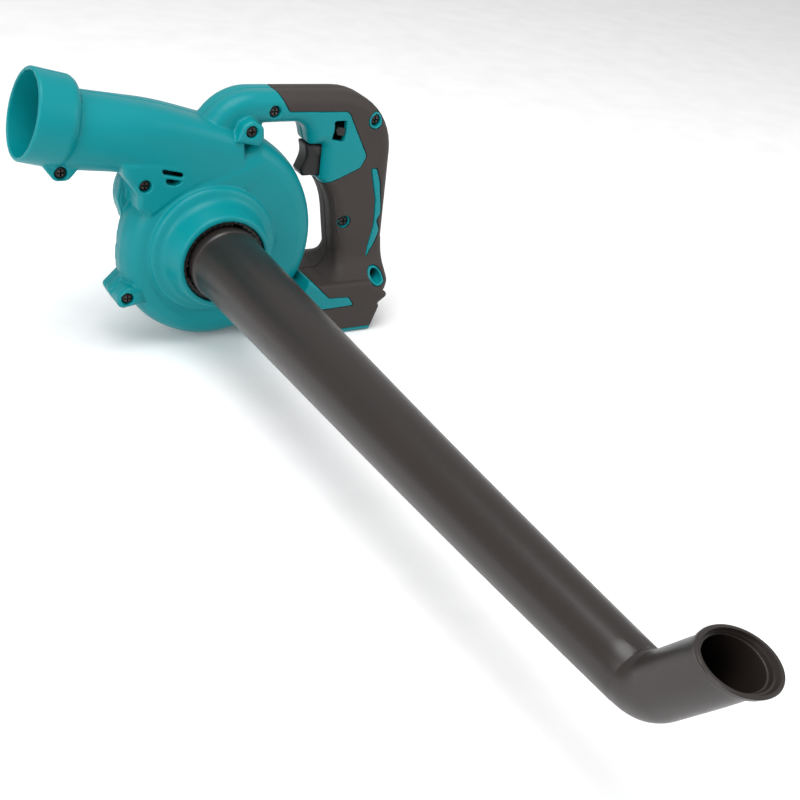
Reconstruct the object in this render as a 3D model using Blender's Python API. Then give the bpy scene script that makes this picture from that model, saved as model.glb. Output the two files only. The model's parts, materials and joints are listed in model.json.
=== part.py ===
"""Cordless leaf blower with a long nozzle on its side inlet.

Shapes are laid out in millimetres around the fan axis and turned into metres when a mesh is made.
The fan turns about Y. -X is the air outlet, +X the grip, +Z up, and -Y the inlet side with the nozzle.
The model's origin is the face of the terminal block, where a battery seats.
"""

from math import atan2, cos, pi, radians, sin, sqrt, tan

import bmesh
import bpy
from mathutils import Matrix, Vector

MM = 0.001
FIT = 0.3  # air left between pieces that touch
LEAST_FILLET = 0.15
WELD = 0.004  # points closer than this become one
WIDE_ARC = 30.0  # arcs from this radius up get steps half as long

# Where the battery seat lies from the fan axis.
SEAT_X, SEAT_Z = 112.0, -77.0

# Fan scroll: grows with the angle turned from its tongue, which is at the left.
SCROLL_START, SCROLL_SLOPE = 67.0, 0.137
SCROLL_KNEE, SCROLL_LATE_SLOPE = 160.0, 0.033
SCROLL_FIRST, SCROLL_LAST = -30.0, 246.0
SCROLL_DOME = ((16.0, -27.0), (8.5, -24.5), (3.0, -18.5), (0.0, -9.0))  # (inset, y) of the near face
SCROLL_BACK_Y = 18.0
SCROLL_STEP = 4.5  # how far the far half of the scroll lies inside the near half
WALL = 2.6

# Outlet: a collar on a tilted axis at the end of a duct.
MOUTH = Vector((-136.4, 0.0, 102.8))
OUTLET_TILT = radians(13.85)
OUTLET_AXIS = Vector((-cos(OUTLET_TILT), 0.0, sin(OUTLET_TILT)))
COLLAR_R, COLLAR_BORE_R = 33.2, 30.2

# Inlet boss on the cover, and the bore that takes the nozzle.
INLET_FACE_Y, INLET_BORE_R = -52.7, 32.8

# Motor housing on the far side.
BARREL_R, BARREL_END_Y, TOOL_END_Y = 35.0, 88.0, 107.0
MOTOR_R = 22.0
MOTOR_Y = 22.0  # front of the motor can
SHAFT_R = 2.5

# Handle.
HANDLE_HALF, HANDLE_ROUND = 17.0, 10.0
BASE_HALF, BASE_ROUND = 38.0, 4.0
SKIN = 2.4  # thickness of the soft grip
SHELL = 5.2  # from the handle's outer surface to its hollow
BASE_BOTTOM = -84.0

# Nozzle, along -Y with a bent tip.
NOZZLE_ROOT_Y, NOZZLE_BEND_Y = -34.0, -546.0
NOZZLE_ROOT_R, NOZZLE_END_R, NOZZLE_WALL = 27.4, 16.6, 2.0
NOZZLE_RISE = 3.5
TIP_LENGTH, TIP_BEND, TIP_TURN, MOUTH_BEND = 63.3, radians(52.6), radians(87.5), radians(79.9)
FLANGE_R = 20.5

# Screws: place of the head's face (x, y, z) and how far the shank runs behind it.
SCREW_HEAD_R, SCREW_HEAD_H, SCREW_SHANK_R = 4.2, 2.6, 1.9
SCREWS = {
    "outlet_screw": ((-114.5, -16.5, 64.5), 20.0),
    "tongue_screw": ((-55.0, -24.0, 54.0), 32.0),
    "lower_lug_screw": ((-65.4, -24.0, -36.0), 26.0),
    "upper_lug_screw": ((26.0, -26.5, 91.8), 32.0),
    "handle_front_screw": ((48.9, -15.0, 102.9), 26.0),
    "handle_rear_screw": ((138.5, -14.0, 93.0), 24.0),
    "grip_screw": ((120.5, -14.5, 8.0), 24.0),
    "base_screw": ((148.8, -20.0, -37.3), 28.0),
}

# Screw posts in the grip's hollow: radius and half depth.
POSTS = (
    ("handle_front_screw", 5.6, 15.6),
    ("handle_rear_screw", 5.6, 15.6),
    ("grip_screw", 5.6, 15.6),
    ("base_screw", 7.6, 30.0),
)
FLOOR_Z = -72.0  # floor of the hollow above the battery bay

# Trigger, switch and speed lever.
TRIGGER_HALF, TRIGGER_TOP, TRIGGER_BOTTOM, TRIGGER_REAR = 8.2, 73.2, 46.6, 104.5
SWITCH_FRONT, SWITCH_REAR, SWITCH_BOTTOM, SWITCH_TOP, SWITCH_HALF = 112.4, 147.0, 45.0, 79.0, 10.0
PLUNGER_Z, PLUNGER_HALF = 60.0, 2.0
LEVER_PIVOT = (109.0, -15.0, 85.5)

# Fan and motor.
FAN_R, FAN_FRONT_Y, FAN_BACK_Y, BLADES = 54.0, -20.0, 9.0, 9
SHAFT_BORE_R = SHAFT_R + FIT
LEAD_R = 1.2


# ---- making meshes ------------------------------------------------------------------------------


def loft(rings, ends="cap"):
    """Mesh through rings of equal point counts. ends: cap closes both ends, loop joins last to first."""
    bm = bmesh.new()
    rows = [[bm.verts.new(Vector(point) * MM) for point in ring] for ring in rings]
    count = len(rows[0])
    pairs = list(zip(rows, rows[1:]))
    if ends == "loop":
        pairs.append((rows[-1], rows[0]))
    for near, far in pairs:
        for i in range(count):
            j = (i + 1) % count
            bm.faces.new((near[i], near[j], far[j], far[i]))
    if ends == "cap":
        bm.faces.new(rows[0])
        bm.faces.new(rows[-1])
    bmesh.ops.recalc_face_normals(bm, faces=bm.faces)
    if bm.calc_volume(signed=True) < 0:
        bmesh.ops.reverse_faces(bm, faces=bm.faces)
    return solid(bm)


def solid(bm):
    mesh = bpy.data.meshes.new("solid")
    bm.to_mesh(mesh)
    bm.free()
    item = bpy.data.objects.new("solid", mesh)
    bpy.context.collection.objects.link(item)
    return item


def combine(item, tool, operation):
    """Boolean of two solids. The tool is used up."""
    step = item.modifiers.new("step", "BOOLEAN")
    step.operation = operation
    step.solver = "EXACT"
    step.object = tool
    bpy.context.view_layer.update()
    result = item.evaluated_get(bpy.context.evaluated_depsgraph_get())
    mesh = bpy.data.meshes.new_from_object(result)
    bm = bmesh.new()
    bm.from_mesh(mesh)
    bmesh.ops.remove_doubles(bm, verts=bm.verts, dist=WELD * MM)
    bm.to_mesh(mesh)
    bm.free()
    item.modifiers.clear()
    item.data = mesh
    bpy.data.objects.remove(tool, do_unlink=True)
    return item


def add(item, *tools):
    for tool in tools:
        combine(item, tool, "UNION")
    return item


def cut(item, *tools):
    for tool in tools:
        combine(item, tool, "DIFFERENCE")
    return item


def copy_of(item):
    twin = bpy.data.objects.new("solid", item.data.copy())
    bpy.context.collection.objects.link(twin)
    return twin


# ---- outlines in the XZ plane -------------------------------------------------------------------


def inset(corners, amount):
    """Corners (x, z, fillet radius) moved inwards by amount, mitred, with concentric fillets."""
    count = len(corners)
    places = [Vector(corner[:2]) for corner in corners]
    area = sum(places[i - 1].x * places[i].y - places[i].x * places[i - 1].y for i in range(count))
    side = 1 if area > 0 else -1
    moved = []
    for i in range(count):
        here, radius = places[i], corners[i][2]
        before = (here - places[i - 1]).normalized()
        after = (places[(i + 1) % count] - here).normalized()
        normal = Vector((-(before.y + after.y), before.x + after.x)).normalized() * side
        stretch = max(0.4, sqrt(max(0.0, (1 + before.dot(after)) / 2)))
        outward = before.cross(after) * side > 0
        if radius > 0:
            radius = max(LEAST_FILLET, radius - amount if outward else radius + amount)
        place = here + normal * amount / stretch
        moved.append((place.x, place.y, radius))
    return moved


def rounded(corners, step=radians(30)):
    """Points of an outline, with an arc at each corner that has a fillet radius."""
    points = []
    count = len(corners)
    for i, (x, z, radius) in enumerate(corners):
        if radius <= 0:
            points.append((x, z))
            continue
        here = Vector((x, z))
        back = (Vector(corners[i - 1][:2]) - here).normalized()
        ahead = (Vector(corners[(i + 1) % count][:2]) - here).normalized()
        opening = back.angle(ahead)
        reach = radius / tan(opening / 2)
        centre = here + (back + ahead).normalized() * (radius / sin(opening / 2))
        first = here + back * reach - centre
        last = here + ahead * reach - centre
        start = atan2(first.y, first.x)
        sweep = (atan2(last.y, last.x) - start + pi) % (2 * pi) - pi
        fine = 1 if radius < WIDE_ARC else 2
        steps = max(1, round(fine * abs(sweep) / step + 0.01))
        for k in range(steps + 1):
            angle = start + sweep * k / steps
            points.append((centre.x + radius * cos(angle), centre.y + radius * sin(angle)))
    return points


def circle(x, z, radius, sides=24):
    turns = [2 * pi * k / sides for k in range(sides)]
    return [(x + radius * cos(turn), z + radius * sin(turn), 0) for turn in turns]


def plate(corners, half_width, round_off=0.0, shrink=0.0, steps=2, y_mid=0.0, step=radians(30)):
    """Outline extruded along Y to both sides of y_mid, with rounded rims."""
    half = half_width - shrink
    rim = max(round_off - shrink, 0.8) if round_off > 0 else 0.0
    turns = [pi / 2 * k / steps for k in range(steps + 1)] if rim > 0 else [pi / 2]
    profile = [(shrink + rim * (1 - sin(turn)), half - rim * (1 - cos(turn))) for turn in turns]
    levels = [(move, y_mid - depth) for move, depth in profile]
    levels += [(move, y_mid + depth) for move, depth in reversed(profile)]
    return stack(corners, levels, step)


def stack(corners, levels, step=radians(30)):
    """Loft of one outline moved inwards by a different amount at each y. levels holds (amount, y)."""
    rings = []
    for move, y in levels:
        rings.append([(x, y, z) for x, z in rounded(inset(corners, move), step)])
    return loft(rings)


def block(x0, x1, y0, y1, z0, z1):
    corners = [(x0, z0), (x1, z0), (x1, z1), (x0, z1)]
    return loft([[(x, y, z) for x, z in corners] for y in (y0, y1)])


def turned(profile, sides=32, x=0.0, z=0.0, ends="cap"):
    """Solid turned about a line along Y. profile holds (radius, y)."""
    rings = []
    for radius, y in profile:
        rings.append([(px, y, pz) for px, pz, _ in circle(x, z, radius, sides)])
    return loft(rings, ends)


def tube_along(path, radii, sides, ends="cap"):
    """Loft of circles along a path of (point, direction)."""
    rings = []
    for (centre, direction), radius in zip(path, radii):
        across = direction.cross(Vector((1, 0, 0))).normalized()
        up = across.cross(direction).normalized()
        ring = []
        for k in range(sides):
            angle = 2 * pi * k / sides
            ring.append(centre + (across * cos(angle) + up * sin(angle)) * radius)
        rings.append(ring)
    return loft(rings, ends)


# ---- finishing an object ------------------------------------------------------------------------

for leftover in list(bpy.data.objects):
    bpy.data.objects.remove(leftover, do_unlink=True)

FAN_AXIS = bpy.data.objects.new("fan_axis", None)
FAN_AXIS.location = (-SEAT_X * MM, 0.0, -SEAT_Z * MM)
bpy.context.collection.objects.link(FAN_AXIS)


def finish(name, colour, roughness, metallic=0.0):
    material = bpy.data.materials.new(name)
    material.use_nodes = True
    shader = material.node_tree.nodes["Principled BSDF"]
    shader.inputs["Base Color"].default_value = (*colour, 1.0)
    shader.inputs["Roughness"].default_value = roughness
    shader.inputs["Metallic"].default_value = metallic
    return material


TEAL = finish("teal_plastic", (0.0, 0.29, 0.32), 0.38)
BLACK = finish("black_plastic", (0.025, 0.023, 0.022), 0.45)
NOZZLE_BLACK = finish("nozzle_plastic", (0.022, 0.019, 0.018), 0.34)
SOFT = finish("soft_grip", (0.065, 0.055, 0.052), 0.75)
STEEL = finish("steel", (0.55, 0.55, 0.56), 0.3, 1.0)
DARK_STEEL = finish("blackened_steel", (0.03, 0.028, 0.027), 0.4, 0.8)
COPPER = finish("copper", (0.72, 0.36, 0.2), 0.35, 1.0)
BRASS = finish("brass", (0.75, 0.58, 0.28), 0.3, 1.0)
RUBBER = finish("rubber", (0.02, 0.02, 0.02), 0.85)
RED = finish("red_insulation", (0.5, 0.02, 0.02), 0.5)
MAGNET = finish("ferrite", (0.08, 0.08, 0.085), 0.7)


def make(item, name, material, origin=(0.0, 0.0, 0.0)):
    """Name a finished solid, give it its material and put its origin on its axis."""
    shift = Vector(origin) * MM
    item.name = name
    item.data.name = name
    item.data.transform(Matrix.Translation(-shift))
    item.location = shift
    item.parent = FAN_AXIS
    item.data.materials.clear()
    item.data.materials.append(material)
    item.data.shade_smooth()
    item.data.set_sharp_from_angle(angle=radians(32))
    return item


# ---- housing ------------------------------------------------------------------------------------


def scroll_radius(turn):
    """Radius of the fan scroll, turn degrees on from its tongue."""
    early = min(turn, SCROLL_KNEE)
    late = max(turn - SCROLL_KNEE, 0.0)
    return SCROLL_START + SCROLL_SLOPE * early + SCROLL_LATE_SLOPE * late


def scroll_outline(grow=0.0, step=12.0):
    """From the tongue under the outlet, down, round the right side and up to the duct's top."""
    points = []
    for k in range(round((SCROLL_LAST - SCROLL_FIRST) / step) + 1):
        turn = SCROLL_FIRST + k * step
        angle = radians(180.0 + turn)
        radius = scroll_radius(max(turn, 0.0)) + grow
        points.append((radius * cos(angle), radius * sin(angle), 0))
    points.append((-30.0, 60.0 + grow, 0))
    return points


def scroll_solid(shrink=0.0):
    """Near half with a domed face, and the smaller far half behind the seam."""
    levels = [(move + shrink, y + shrink) for move, y in SCROLL_DOME]
    near = stack(scroll_outline(), [*levels, (shrink, 1.5 - 2 * shrink)])
    step = SCROLL_STEP + shrink
    far = stack(scroll_outline(), [(step, -14.0 + shrink), (step, 11.0 - shrink),
                                   (step + 7, SCROLL_BACK_Y - shrink)])
    return add(near, far)


def oval(x, centre_z, half_height, half_width, power=2.6, sides=20):
    """Ring across the duct: a rounded section in a plane of constant x."""
    ring = []
    for k in range(sides):
        angle = 2 * pi * k / sides
        c, s = cos(angle), sin(angle)
        y = half_width * abs(c) ** (2 / power) * (1 if c > 0 else -1)
        z = half_height * abs(s) ** (2 / power) * (1 if s > 0 else -1)
        ring.append((x, y, centre_z + z))
    return ring


def duct(shrink=0.0, start=-112.0):
    stations = (
        (start, 92.0, 29.2, 28.0, 2.1),
        (-90.0, 88.9, 28.2, 27.4, 2.2),
        (-68.0, 85.9, 27.4, 26.8, 2.5),
        (-40.0, 79.2, 28.6, 26.6, 3.2),
        (-10.0, 69.6, 29.6, 26.5, 3.8),
        (22.0, 59.5, 30.0, 26.4, 3.8),
    )
    rings = [oval(x, z, high - shrink, wide - shrink, power) for x, z, high, wide, power in stations]
    return loft(rings)


def collar(profile):
    """Turned piece on the outlet's axis. profile holds (distance out from the mouth, radius)."""
    path = [(MOUTH + OUTLET_AXIS * along, OUTLET_AXIS) for along, _ in profile]
    return tube_along(path, [radius for _, radius in profile], 26)


def handle_outline():
    return (
        (-20, 76, 0), (12.6, 117.6, 45), (156, 114.8, 52), (162.5, -50, 0), (113, -50, 0), (117, -25, 40),
        (107, 30, 60), (95.5, 44.5, 3), (95, 73.6, 1.5), (83.5, 73.6, 3), (78, 92.5, 14), (32, 92.5, 8),
        (12, 74, 0),
    )


def base_outline():
    return (
        (56, BASE_BOTTOM, 2), (146, BASE_BOTTOM, 1.5), (153, -63, 1), (151.5, -60, 1), (161, -53, 3),
        (140, -38, 8), (94, -38, 4), (84, -32.5, 3), (56, -32.5, 0),
    )


def flare(shrink):
    """Blend from the grip down to the wider base."""
    sections = ((-10, 117, 161.5, 16), (-22, 116.5, 162, 18.5), (-30, 115, 162, 23),
                (-36, 110, 161.5, 30), (-41, 101, 160.5, 36.3), (-48 + 0.3 * shrink, 88, 159, 37.2))
    rings = []
    for z, x0, x1, half in sections:
        x0, x1, half = x0 + shrink, x1 - shrink, half - shrink
        outline = rounded(((x0, -half, 9), (x1, -half, 9), (x1, half, 9), (x0, half, 9)), radians(30))
        rings.append([(x, y, z) for x, y in outline])
    return loft(rings)


def grip_body(shrink=0.0):
    """Handle, flare and base as one solid, with its surface moved in by shrink."""
    steps = 2 if shrink < SHELL else 1
    wide = plate(base_outline(), BASE_HALF, BASE_ROUND, shrink, steps)
    cut(wide, plate(scroll_outline(0.6 + shrink), 60.0))
    handle = plate(handle_outline(), HANDLE_HALF, HANDLE_ROUND, shrink, steps)
    return add(handle, flare(shrink), wide)


def arm():
    """Bridge from the scroll to the base."""
    outline = ((60, -83, 2), (83, -83, 2), (83, -43, 2), (77, -37, 3), (40, -37, 0))
    return plate(outline, 24.0, 3.0)


def soft_region():
    """Side view of the soft grip: over the handle's top, round its back, down the grip and on the base."""
    return (
        (38, 140, 0), (61, 103, 2), (113, 101.5, 6), (134, 64, 5), (129, 54, 5), (99, 41, 0), (84, 34, 0),
        (80.5, -28, 0), (102.5, -49.2, 1), (121, -50.2, 1), (127.2, -58.8, 1), (66, -60.8, 0), (66, -79.5, 0),
        (147, -79.5, 0), (155, -60, 0), (164, -54, 0), (185, -40, 0), (185, 140, 0),
    )


def inlay_outline():
    """Strip of housing that shows through the back of the grip."""
    return ((139.5, 53, 1), (145, 53, 1), (150, 40, 8), (155, 13, 1), (151.5, 7, 1), (155.5, -2, 1),
            (152, -13, 2), (143.5, -26, 0), (148.5, 4, 20), (147, 26, 20))


def skin_windows(grow):
    """Openings through the soft grip on the near and far sides."""
    windows = [plate(inset(inlay_outline(), -grow), 60.0)]
    for name, radius in (("handle_rear_screw", 6.8), ("grip_screw", 5.4), ("base_screw", 6.8)):
        x, _, z = SCREWS[name][0]
        windows.append(plate(circle(x, z, radius + grow, 16), 60.0))
    return windows


def inlet_boss():
    return turned(((51, -20), (51, -29), (49, -31.5), (44, -33.5), (41.5, -37), (40, -42),
                   (37.5, -50.5), (35.8, INLET_FACE_Y)), 32)


def lugs():
    return [
        plate(((-131, 80, 0), (-126, 68, 3), (-119, 58.5, 5), (-109, 58.5, 5), (-99, 70, 3),
               (-98, 84, 0)), 12.5, 1.5, y_mid=-5.5),
        plate(((-50, 28, 0), (-60, 36, 3), (-60, 46, 8), (-71, 62, 0), (-73, 72, 0), (-10, 72, 0), (-6, 54, 0),
               (-30, 42, 0)), 13.9, 4.0, y_mid=-12.6),
        plate(((-50, 14, 0), (-62, 18, 0), (-67, 35, 12), (-64.5, 50, 12), (-60, 62, 0), (-40, 62, 0)), 6.5, 2.0,
              y_mid=5.5),
        plate(((-55, -10, 0), (-65.0, -24.5, 0), (-75.5, -35, 3), (-71, -44, 4), (-57, -42, 0), (-40, -36, 0)),
              8.5, 1.5, y_mid=-1.0),
        plate(((-54, -28, 0), (-66, -26.5, 9), (-74, -36, 9), (-71, -44.5, 4), (-57, -42.5, 0), (-50, -42, 0)),
              12.5, 4.0, y_mid=-13.2),
        plate(((8, 78, 0), (15.5, 90, 0), (25.5, 101.5, 3), (30, 101, 3), (42.5, 92.8, 3), (43, 85, 3),
               (38, 76, 0)), 9.0, 1.5, y_mid=-0.5),
        plate(((14, 84, 0), (19, 97, 4), (27, 101, 5), (36, 95, 5), (37, 86, 4), (33, 80, 0)), 14.2, 3.0,
              y_mid=-13.3),
    ]


def screw_way(name):
    """Clearance for a screw: open recess in front, head seat and shank hole."""
    (x, y, z), length = SCREWS[name]
    wide, narrow, seat = SCREW_HEAD_R + 0.6, SCREW_SHANK_R + FIT, y + SCREW_HEAD_H + FIT
    return turned(((wide, y - 40), (wide, seat), (narrow, seat), (narrow, y + length + 1)), 10, x, z)


def housing_halves():
    """Two moulded halves that meet at y = 0, hollow, with screw bosses."""
    grip = grip_body()
    skin_cut = plate(inset(soft_region(), -FIT), 60.0)
    for window in skin_windows(-FIT):
        cut(skin_cut, window)
    cut(grip, skin_cut)
    add(grip, grip_body(SKIN + FIT))

    scroll = scroll_solid()
    air = add(scroll, duct(), collar(((0, 32.4), (-1, COLLAR_R), (-26, COLLAR_R), (-29.5, 31.6), (-32, 28.0))))
    hollow = grip_body(SHELL)
    cut(hollow, copy_of(air))
    outer = add(air, grip, arm(), inlet_boss(), *lugs())
    barrel = turned(((BARREL_R + 14, 12), (BARREL_R + 5, 26), (BARREL_R, 38), (BARREL_R, BARREL_END_Y)), 30)
    channel = block(10, 84.6, 13.5, 29.2, -43, -20)
    add(outer, barrel, channel)

    air_space = scroll_solid(WALL)
    bore = turned(((INLET_BORE_R, INLET_FACE_Y - 5), (INLET_BORE_R, -36), (31, -35.9), (31, 0)), 32)
    throat = collar(((9, COLLAR_BORE_R), (-24, COLLAR_BORE_R), (-31, 25.3), (-34, 25.0)))
    add(air_space, duct(WALL, -111.0), throat, bore)
    motor_bay = turned(((BARREL_R - WALL, 20.5), (BARREL_R - WALL, BARREL_END_Y + 5)), 30)
    nose = turned(((14, 10), (14, 24)), 20)
    passage = block(16, 82.9, 22.9, 27.1, -40, -22.6)
    drop = block(76.5, 83, 19, 26, -55, -26)
    cut(hollow, block(40, 200, -60, 60, -90, FLOOR_Z))
    add(hollow, motor_bay, passage, drop)

    cut(outer, air_space)
    cut(outer, hollow, nose)
    for name, radius, depth in POSTS:
        (x, _, z), _ = SCREWS[name]
        add(outer, combine(plate(circle(x, z, radius, 12), depth), grip_body(SKIN + 1.0), "INTERSECT"))
    tongue = SCREWS["tongue_screw"][0]
    add(outer, plate(circle(tongue[0], tongue[2], 5.6, 12), 19.5, y_mid=-5.0))
    cut(outer, *battery_bay(), terminal_bay(), trigger_bay(), switch_bay(), lever_bay(), *vents())
    cut(outer, *[screw_way(name) for name in SCREWS])

    left = copy_of(outer)
    right = outer
    combine(left, block(-200, 200, -200, -FIT / 2, -200, 200), "INTERSECT")
    combine(right, block(-200, 200, FIT / 2, 200, -200, 200), "INTERSECT")
    make(left, "housing_left", TEAL)
    make(right, "housing_right", TEAL)


def battery_bay():
    """Slot under the base, open at the back, with a wider part above the rails."""
    return [block(84, 190, -24, 24, -90, SEAT_Z), block(84, 190, -29, 29, -80.5, SEAT_Z + 0.01)]


def terminal_bay():
    return block(SEAT_X - 16.3, SEAT_X + 16.3, -18.3, 18.3, -80, -64.7)


def trigger_bay():
    return block(90, 113, -TRIGGER_HALF - 0.5, TRIGGER_HALF + 0.5, 46.0, 73.8)


def switch_bay():
    return block(112, 147.3, -10.3, 10.3, 44.7, 79.3)


def lever_bay():
    """Window on the near side for the speed lever."""
    outline = ((100, 79, 1), (111, 77, 1), (112, 94, 1), (101, 94, 1), (101.5, 86, 1))
    return plate(outline, 3.5, y_mid=-15.0)


def vents():
    """Two slanted slots in the cover, above the inlet."""
    upper = ((-43.3, 66.6, 0.8), (-27.1, 62.8, 0.8), (-25.1, 58.7, 0.8), (-41.9, 62.4, 0.8))
    lower = ((-40.2, 59.2, 0.8), (-25.4, 56.2, 0.8), (-32.1, 53, 0.8), (-38.6, 54.5, 0.8))
    return [plate(upper, 6.0, y_mid=-23.0), plate(lower, 6.0, y_mid=-23.0)]


def soft_grips():
    """The soft skin, one piece on each half."""
    skin = combine(grip_body(), plate(soft_region(), 60.0), "INTERSECT")
    cut(skin, grip_body(SKIN), *skin_windows(FIT))
    cut(skin, *battery_bay(), trigger_bay())
    left = copy_of(skin)
    combine(left, block(-200, 200, -200, -FIT / 2, -200, 200), "INTERSECT")
    combine(skin, block(-200, 200, FIT / 2, 200, -200, 200), "INTERSECT")
    make(left, "grip_skin_left", SOFT)
    make(skin, "grip_skin_right", SOFT)


housing_halves()
soft_grips()


# ---- screws -------------------------------------------------------------------------------------


def screw(name):
    """Pan head with a cross recess, and a plain shank."""
    (x, y, z), length = SCREWS[name]
    body = turned(((SCREW_HEAD_R - 0.6, y), (SCREW_HEAD_R, y + 0.7), (SCREW_HEAD_R, y + SCREW_HEAD_H),
                   (SCREW_SHANK_R, y + SCREW_HEAD_H), (SCREW_SHANK_R, y + length)), 12, x, z)
    cut(body, block(x - 2.3, x + 2.3, y - 1, y + 1.3, z - 0.55, z + 0.55),
        block(x - 0.55, x + 0.55, y - 1, y + 1.3, z - 2.3, z + 2.3))
    make(body, name, DARK_STEEL, (x, y, z))


# ---- inlet and nozzle ---------------------------------------------------------------------------


def inlet_ring():
    """Bayonet ring pressed into the bore; the nozzle turns in it."""
    ring = turned(((32.4, -50.5), (32.4, -36.4), (28.6, -36.4), (28.6, -48.6), (29.6, -50.5)), 32, ends="loop")
    make(ring, "inlet_ring", BLACK)


def bent(angle):
    """Direction turned by angle from -Y towards the side the tip points to."""
    aside = Vector((cos(TIP_TURN), 0.0, sin(TIP_TURN)))
    return Vector((0.0, -1.0, 0.0)) * cos(angle) + aside * sin(angle)


def nozzle_path():
    """Places, directions and outer radii from the root to the lip of the tip."""
    path, radii = [], []
    for y, radius in ((NOZZLE_ROOT_Y, 27.9), (-51.5, 27.9), (-53.6, 28.9), (-59.5, 28.9), (-61.0, 27.7)):
        path.append((Vector((0, y, 0)), bent(0)))
        radii.append(radius)
    bend_r, bends = 22.0, 4
    straight_end = NOZZLE_BEND_Y + bend_r * tan(TIP_BEND / 2)
    for k in range(1, 6):
        y = -61.0 + (straight_end + 61.0) * k / 5
        along = (-70.0 - y) / (-70.0 - NOZZLE_BEND_Y)
        lift = NOZZLE_RISE * max(0.0, (along - 0.4) / 0.6) ** 2
        path.append((Vector((0.3 * lift, y, lift)), bent(0)))
        radii.append(NOZZLE_ROOT_R + (NOZZLE_END_R - NOZZLE_ROOT_R) * along)
    place = path[-1][0].copy()
    for k in range(1, bends + 1):
        turn = TIP_BEND * k / bends
        place = place + bent(turn - TIP_BEND / bends / 2) * (2 * bend_r * sin(TIP_BEND / bends / 2))
        path.append((place.copy(), bent(turn)))
        radii.append(NOZZLE_END_R)
    rest = TIP_LENGTH - bend_r * tan(TIP_BEND / 2)
    for share, lean, radius in ((0.35, 0.0, 16.6), (0.7, 0.35, 16.7), (0.9, 0.8, 17.2), (0.97, 1.0, 20.3)):
        path.append((place + bent(TIP_BEND) * rest * share, bent(TIP_BEND + (MOUTH_BEND - TIP_BEND) * lean)))
        radii.append(radius)
    path.append((place + bent(TIP_BEND) * (rest + 0.6), bent(MOUTH_BEND)))
    radii.append(FLANGE_R)
    return path, radii


def nozzle():
    """One hollow moulding, open at both ends."""
    path, radii = nozzle_path()
    inner_path = list(reversed(path))
    inner = [radius - NOZZLE_WALL for radius in reversed(radii)]
    inner[:3] = [FLANGE_R - 2.6, FLANGE_R - 4.2, NOZZLE_END_R - 0.9]
    body = tube_along(path + inner_path, radii + inner, 24, "loop")
    make(body, "nozzle", NOZZLE_BLACK, (0, NOZZLE_ROOT_Y, 0))


# ---- fan and motor ------------------------------------------------------------------------------


def impeller():
    """Back plate, hub and backward-curved blades in one moulding."""
    wheel = turned(((6.5, -14.3), (9.5, -6), (14, FAN_BACK_Y - 3), (FAN_R, FAN_BACK_Y - 2),
                    (FAN_R, FAN_BACK_Y)), 30)
    for k in range(BLADES):
        start = 2 * pi * k / BLADES
        edges = ([], [])
        for step in range(5):
            radius = 12.0 + (FAN_R - 13.0) * step / 4
            angle = start - radians(48) * (step / 4) ** 1.2
            for side, edge in zip((-0.8, 0.8), edges):
                turn = angle + side / radius
                edge.append((radius * cos(turn), radius * sin(turn), 0))
        outline = edges[0] + edges[1][::-1]
        depth = (FAN_BACK_Y - 1.0 - FAN_FRONT_Y) / 2
        add(wheel, plate(outline, depth, y_mid=FAN_FRONT_Y + depth))
    cut(wheel, turned(((SHAFT_BORE_R, -30), (SHAFT_BORE_R, 30)), 16))
    make(wheel, "impeller", BLACK)


def magnet(name, middle):
    spread = radians(62)
    turns = [middle + spread * (k / 4 - 1) for k in range(9)]
    outer = [(19.8 * cos(turn), 19.8 * sin(turn), 0) for turn in turns]
    inner = [(16.0 * cos(turn), 16.0 * sin(turn), 0) for turn in reversed(turns)]
    make(plate(outer + inner, 19.0, y_mid=MOTOR_Y + 28), name, MAGNET)


def sleeve(name, material, outer, inner, y0, y1, sides=24):
    ring = turned(((outer, y0), (outer, y1), (inner, y1), (inner, y0)), sides, ends="loop")
    make(ring, name, material)


def rotor():
    """What turns on the shaft, besides the impeller."""
    y = MOTOR_Y
    shaft = turned(((1.9, -19.5), (SHAFT_R, -18.5), (SHAFT_R, y + 70), (1.9, y + 71)), 16)
    make(shaft, "motor_shaft", STEEL)
    sleeve("impeller_nut", STEEL, 5.0, 3.2, -18.4, -14.6, 6)
    core = turned(((15.3, y + 12), (15.3, y + 45), (SHAFT_BORE_R, y + 45), (SHAFT_BORE_R, y + 12)), 24,
                  ends="loop")
    for k in range(5):
        slot = block(12.5, 16, y + 9, y + 49, -0.8, 0.8)
        slot.data.transform(Matrix.Rotation(2 * pi * k / 5, 4, "Y"))
        cut(core, slot)
    make(core, "armature_core", STEEL)
    sleeve("front_winding", COPPER, 12.4, 4.4, y + 6.5, y + 11.7, 20)
    sleeve("rear_winding", COPPER, 12.4, 4.4, y + 45.3, y + 49.2, 20)
    sleeve("commutator", COPPER, 6.6, SHAFT_BORE_R, y + 49.6, y + 59, 20)


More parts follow.
